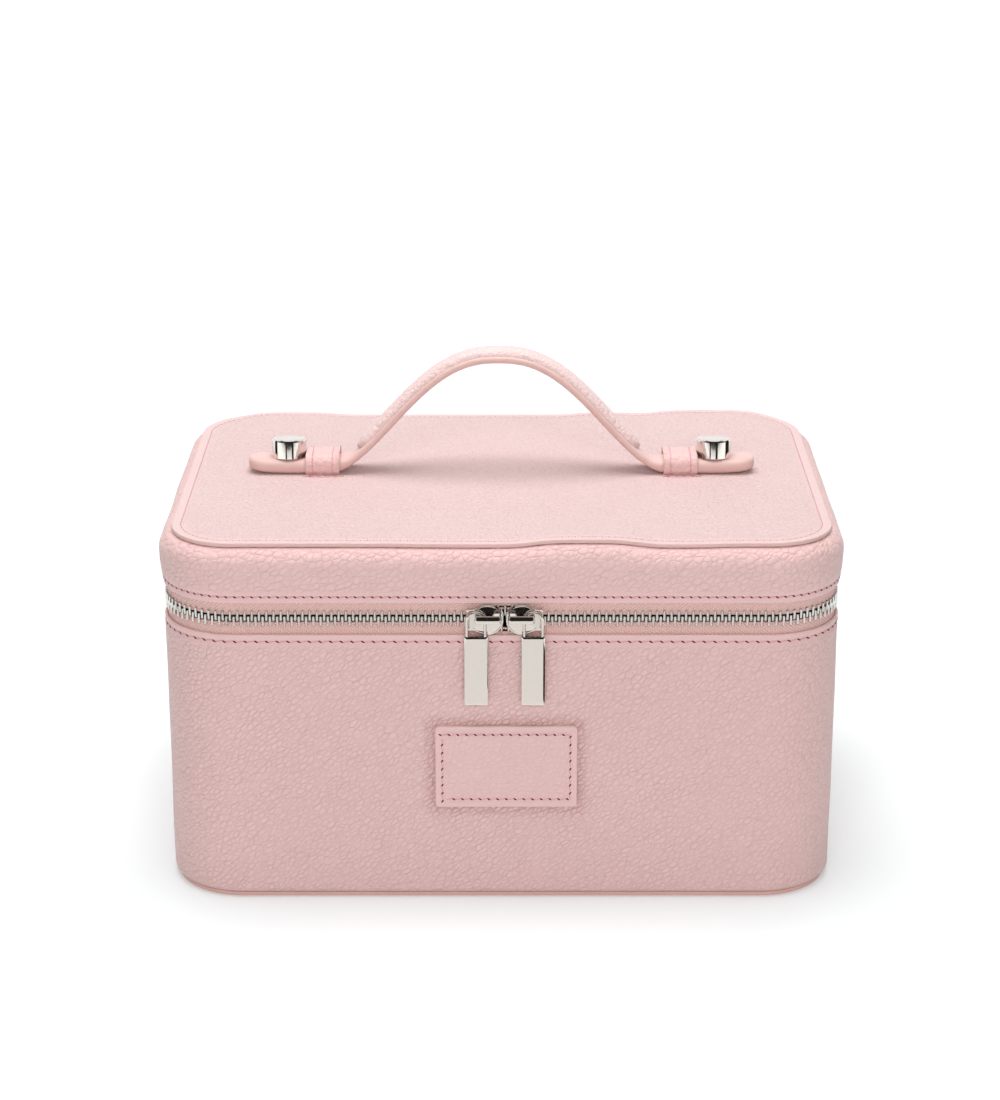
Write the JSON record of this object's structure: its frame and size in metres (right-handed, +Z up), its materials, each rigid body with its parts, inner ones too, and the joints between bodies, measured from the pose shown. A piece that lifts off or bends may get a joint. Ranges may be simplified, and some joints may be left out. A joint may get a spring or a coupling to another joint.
{
  "type": "makeup storage case with handle",
  "caption": "Leather-covered makeup case with a hinged zip-closed lid, a two-way zip with pull tabs and a padded strap handle that flattens onto the lid.",
  "frame": {"origin": "middle of the base on the surface that the case stands on, under the middle of the body", "axes": "+Z up, the zip's sliders and the patch face -Y, +X to the right as seen from the front"},
  "size_m": [0.26, 0.1813, 0.1938],
  "materials": {
    "pebbled_leather": "pale pink pebbled leather, matt sheen",
    "base_leather": "smooth salmon pink base leather",
    "trim_leather": "pale pink leather with stitched edges",
    "edge_paint": "smooth strap leather with painted round edges",
    "grip_leather": "pebbled leather over a padded grip",
    "grey_board": "grey box board",
    "lining": "soft pale pink lining",
    "padding": "thin foam sheet",
    "zip_tape": "dusty pink woven zip tape",
    "zip_metal": "bright nickel-plated zip teeth",
    "polished_nickel": "polished warm nickel plate"
  },
  "bodies": {
    "case": {"base_panel": "base_leather", "base_board": "grey_board", "body_wall": "pebbled_leather", "body_board": "grey_board", "body_lining": "lining", "label_patch": "trim_leather", "zip_tape_lower": "zip_tape", "zip_teeth_lower": "zip_metal", "zip_stops_lower": "zip_metal", "hinge_leather_lower": "trim_leather"},
    "lid": {"lid_wall": "pebbled_leather", "lid_board": "grey_board", "lid_lining": "lining", "top_padding": "padding", "top_panel": "pebbled_leather", "zip_tape_upper": "zip_tape", "zip_teeth_upper": "zip_metal", "zip_stops_upper": "zip_metal", "hinge_leather_upper": "trim_leather", "keeper_left": "trim_leather", "keeper_right": "trim_leather"},
    "zip_slider_left": {"slider_left": "polished_nickel"},
    "zip_slider_right": {"slider_right": "polished_nickel"},
    "pull_left": {"bail_left": "polished_nickel", "pull_tab_left": "polished_nickel"},
    "pull_right": {"bail_right": "polished_nickel", "pull_tab_right": "polished_nickel"},
    "handle_grip": {"handle_strap": "edge_paint", "grip_cover": "grip_leather", "grip_filler": "grey_board"},
    "stud_left": {"knob_left": "polished_nickel", "stud_screw_left": "polished_nickel"},
    "stud_right": {"knob_right": "polished_nickel", "stud_screw_right": "polished_nickel"}
  },
  "joints": [
    {"name": "lid_hinge", "type": "hinge", "parent": "case", "child": "lid", "pos_m": [0, 0.08595, 0.1151], "axis": [-1, 0, 0], "range_deg": [0, 100]},
    {"name": "slide_left", "type": "slide", "parent": "case", "child": "zip_slider_left", "axis": [-1, 0, 0], "range_m": [0, 0.084], "deforming": ["zip_teeth_lower", "zip_teeth_upper"]},
    {"name": "slide_right", "type": "slide", "parent": "case", "child": "zip_slider_right", "axis": [1, 0, 0], "range_m": [0, 0.084]},
    {"name": "pull_swing_left", "type": "hinge", "parent": "zip_slider_left", "child": "pull_left", "pos_m": [-0.0095, -0.08995, 0.1153], "axis": [0, 1, 0], "range_deg": [-10, 90]},
    {"name": "pull_swing_right", "type": "hinge", "parent": "zip_slider_right", "child": "pull_right", "pos_m": [0.0119, -0.08995, 0.1153], "axis": [0, -1, 0], "range_deg": [-10, 90]},
    {"name": "handle_press", "type": "slide", "parent": "lid", "child": "handle_grip", "axis": [0, -0.0872, -0.9962], "range_m": [0, 0.04], "deforming": ["handle_strap", "grip_cover"]},
    {"name": "stud_slide_left", "type": "slide", "parent": "handle_grip", "child": "stud_left", "axis": [-0.3621, 0.0812, 0.9286], "range_m": [0, 0.043]},
    {"name": "stud_slide_right", "type": "slide", "parent": "handle_grip", "child": "stud_right", "axis": [0.3621, 0.0812, 0.9286], "range_m": [0, 0.043]}
  ],
  "couplings": [
    {"joint": "stud_slide_left", "follows": "handle_press", "ratio": 1.0728},
    {"joint": "stud_slide_right", "follows": "handle_press", "ratio": 1.0728}
  ]
}
